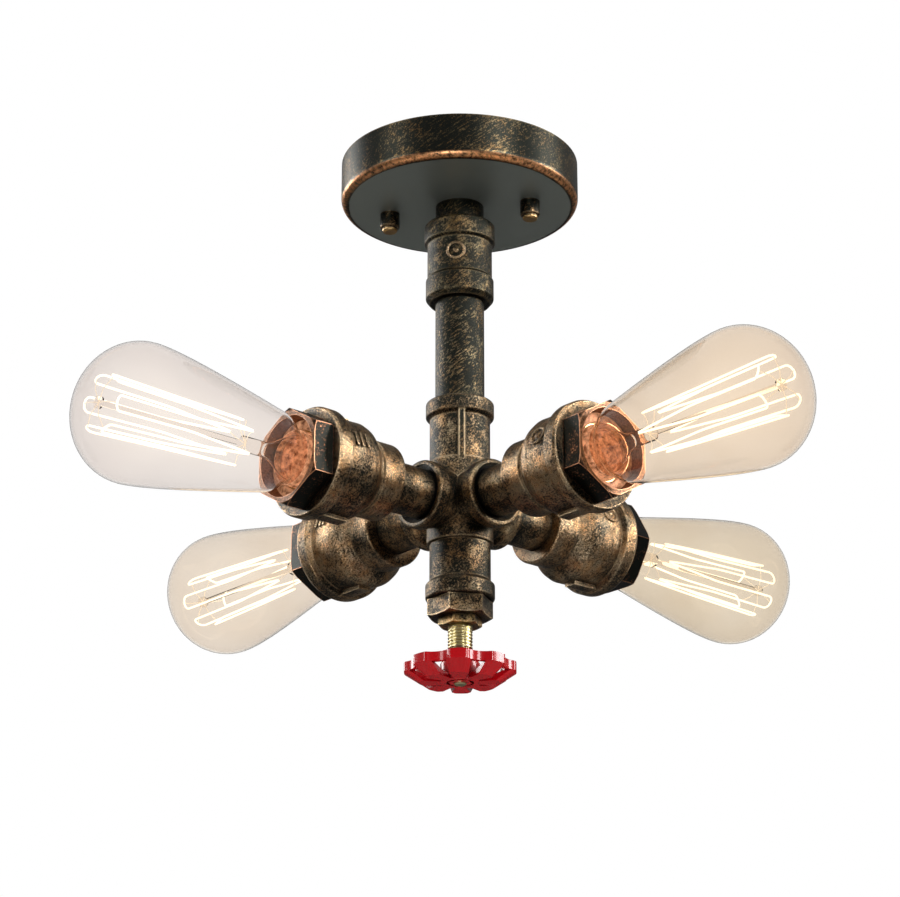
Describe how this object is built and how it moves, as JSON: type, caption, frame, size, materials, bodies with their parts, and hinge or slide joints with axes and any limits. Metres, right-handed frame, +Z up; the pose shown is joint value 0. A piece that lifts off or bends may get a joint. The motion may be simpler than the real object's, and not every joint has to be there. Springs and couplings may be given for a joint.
{
  "type": "ceiling light",
  "caption": "Industrial pipe ceiling light: pipe stem from a round canopy, a cross fitting with bulb sockets on its arms, and a valve handwheel below.",
  "frame": {"origin": "centre of the ceiling plane, on the stem's axis", "axes": "+Z up along the stem into the ceiling; +X and +Y along two of the four arms"},
  "size_m": [0.4328, 0.4328, 0.2693],
  "materials": {
    "canopy_bronze": "satin dark bronze",
    "zinc_steel": "bright zinc",
    "nut_bronze": "dark bronze",
    "pipe_bronze": "dark bronze, dry-brushed copper",
    "cast_bronze": "dark cast bronze, dry-brushed copper",
    "cup_bronze": "dark cast bronze, dry-brushed copper",
    "bushing_bronze": "dark bronze, copper edges",
    "white_plastic": "moulded",
    "brass": "polished",
    "earth_insulation": "green sleeve",
    "lead_insulation": "brown sleeve",
    "wheel_enamel": "glossy red enamel",
    "holder_ceramic": "copper-coloured glaze",
    "clear_glass": "clear",
    "cap_brass": "plain",
    "stem_glass": "clear",
    "filament_glow": "lit",
    "support_wire": "drawn wire"
  },
  "bodies": {
    "body": {"canopy": "canopy_bronze", "mounting_strap": "zinc_steel", "strap_studs": "zinc_steel", "cap_nuts": "nut_bronze", "canopy_nipple": "pipe_bronze", "nipple_locknut": "zinc_steel", "terminal_block": "white_plastic", "terminal_screws": "brass", "earth_screw": "brass", "earth_lead": "earth_insulation", "top_coupling": "cast_bronze", "stem_pipe": "pipe_bronze", "six_way_cross": "cast_bronze", "bottom_plug": "cast_bronze", "gland_nut": "brass", "lamp_leads": "lead_insulation", "screw_shells": "brass", "centre_contacts": "brass", "arm_nipple_1": "pipe_bronze", "lamp_cup_1": "cup_bronze", "hex_bushing_1": "bushing_bronze", "lampholder_1": "holder_ceramic", "arm_nipple_2": "pipe_bronze", "lamp_cup_2": "cup_bronze", "hex_bushing_2": "bushing_bronze", "lampholder_2": "holder_ceramic", "arm_nipple_3": "pipe_bronze", "lamp_cup_3": "cup_bronze", "hex_bushing_3": "bushing_bronze", "lampholder_3": "holder_ceramic", "arm_nipple_4": "pipe_bronze", "lamp_cup_4": "cup_bronze", "hex_bushing_4": "bushing_bronze", "lampholder_4": "holder_ceramic"},
    "valve": {"valve_stem": "brass", "handwheel": "wheel_enamel", "wheel_nut": "brass"},
    "bulb_1": {"bulb_glass_1": "clear_glass", "bulb_cap_1": "cap_brass", "glass_stem_1": "stem_glass", "filament_1": "filament_glow", "support_wires_1": "support_wire"},
    "bulb_2": {"bulb_glass_2": "clear_glass", "bulb_cap_2": "cap_brass", "glass_stem_2": "stem_glass", "filament_2": "filament_glow", "support_wires_2": "support_wire"},
    "bulb_3": {"bulb_glass_3": "clear_glass", "bulb_cap_3": "cap_brass", "glass_stem_3": "stem_glass", "filament_3": "filament_glow", "support_wires_3": "support_wire"},
    "bulb_4": {"bulb_glass_4": "clear_glass", "bulb_cap_4": "cap_brass", "glass_stem_4": "stem_glass", "filament_4": "filament_glow", "support_wires_4": "support_wire"}
  },
  "joints": [
    {"name": "valve_turn", "type": "hinge", "parent": "body", "child": "valve", "pos_m": [0, 0, -0.25], "axis": [0, 0, 1], "continuous": true},
    {"name": "bulb_1_unscrew", "type": "slide", "parent": "body", "child": "bulb_1", "axis": [1, 0, 0], "range_m": [0, 0.03]},
    {"name": "bulb_2_unscrew", "type": "slide", "parent": "body", "child": "bulb_2", "axis": [0, 1, 0], "range_m": [0, 0.03]},
    {"name": "bulb_3_unscrew", "type": "slide", "parent": "body", "child": "bulb_3", "axis": [-1, 0, 0], "range_m": [0, 0.03]},
    {"name": "bulb_4_unscrew", "type": "slide", "parent": "body", "child": "bulb_4", "axis": [0, -1, 0], "range_m": [0, 0.03]}
  ]
}
